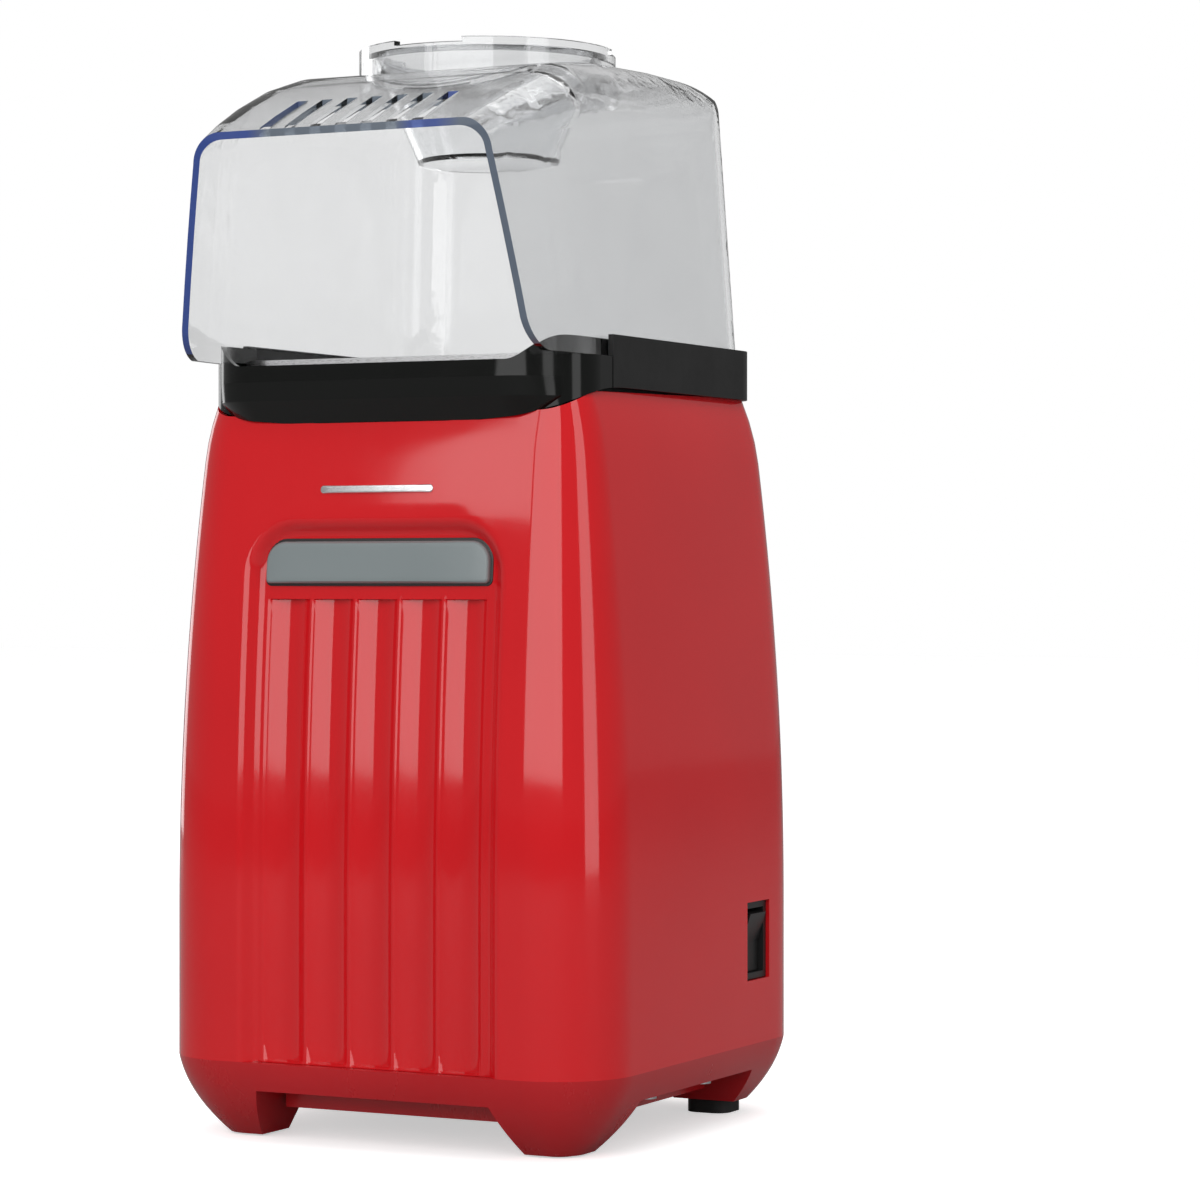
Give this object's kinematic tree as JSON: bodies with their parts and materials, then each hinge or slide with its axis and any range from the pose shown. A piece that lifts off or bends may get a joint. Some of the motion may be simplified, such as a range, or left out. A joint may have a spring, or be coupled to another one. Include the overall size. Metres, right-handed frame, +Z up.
{
  "type": "popcorn maker",
  "caption": "Hot-air popcorn maker: fluted body on four feet, rocker switch, fan and heater under a metal popping chamber, clear lift-off chute hood with a measuring cup.",
  "frame": {"origin": "middle of the whole footprint, on the surface that the feet stand on", "axes": "+Z up, -Y towards the user and the chute's mouth, +X towards the switch side"},
  "size_m": [0.1344, 0.1506, 0.295],
  "materials": {
    "red_gloss": "gloss injection-moulded ABS",
    "red_skirt": "semi-gloss ABS",
    "black_plastic": "gloss to satin black plastic",
    "black_trim": "satin black plastic",
    "clear_plastic": "clear polycarbonate",
    "grey_plate": "satin grey, paint look",
    "silver_accent": "bright foil",
    "aluminium": "drawn sheet, satin",
    "rubber": "matt",
    "silicone": "red silicone",
    "mica": "mica sheet",
    "resistance_wire": "oxidised nichrome",
    "fan_plastic": "glass-filled nylon",
    "housing_plastic": "natural heat-resistant plastic",
    "steel": "zinc-plated",
    "bright_steel": "ground steel",
    "magnet": "ferrite",
    "bronze": "sintered bronze",
    "brass": "brass",
    "carbon": "carbon",
    "board": "phenolic board",
    "wire_blue": "insulated wire",
    "wire_white": "glass-braid wire",
    "wire_red": "insulated wire"
  },
  "bodies": {
    "base": {"housing_shell": "red_gloss", "base_skirt": "red_skirt", "bottom_plate": "red_skirt", "collar": "black_plastic", "name_plate": "grey_plate", "accent_bar": "silver_accent", "chute_pan": "aluminium", "popping_chamber": "aluminium", "chamber_gasket": "silicone", "heat_shield": "aluminium", "heater_frame": "mica", "heater_coil": "resistance_wire", "fan_housing": "housing_plastic", "motor_can": "steel", "motor_end_cap": "black_trim", "motor_magnets": "magnet", "motor_bushes": "bronze", "motor_brushes": "carbon", "motor_bracket": "steel", "bracket_screws": "steel", "motor_screws": "steel", "rectifier_board": "board", "rectifier_diodes": "black_trim", "terminal_block": "housing_plastic", "thermostat": "black_trim", "thermal_fuse": "brass", "switch_body": "black_trim", "switch_terminals": "brass", "cord_gland": "black_trim", "cord_clamp": "black_trim", "clamp_screws": "steel", "supply_leads": "wire_blue", "motor_leads": "wire_red", "heater_leads": "wire_white", "front_foot_pads": "rubber", "rear_feet": "rubber", "skirt_screws": "steel", "tray_screws": "steel", "leg_screws": "steel", "pan_screws": "steel"},
    "rotor": {"motor_shaft": "bright_steel", "rotor_core": "steel", "commutator": "brass", "fan_impeller": "fan_plastic", "fan_nut": "brass"},
    "rocker": {"switch_rocker": "black_trim"},
    "hood": {"hood": "clear_plastic"},
    "cup": {"measuring_cup": "clear_plastic"}
  },
  "joints": [
    {"name": "hood_lift", "type": "slide", "parent": "base", "child": "hood", "axis": [0, 0, 1], "range_m": [0, 0.12]},
    {"name": "cup_lift", "type": "slide", "parent": "hood", "child": "cup", "axis": [0, 0, 1], "range_m": [0, 0.06]},
    {"name": "fan_spin", "type": "hinge", "parent": "base", "child": "rotor", "pos_m": [0, 0.0056, 0.05], "axis": [0, 0, 1], "continuous": true},
    {"name": "switch_rock", "type": "hinge", "parent": "base", "child": "rocker", "pos_m": [0.062, 0.0386, 0.05], "axis": [0, 1, 0], "range_deg": [-18, 0]}
  ]
}
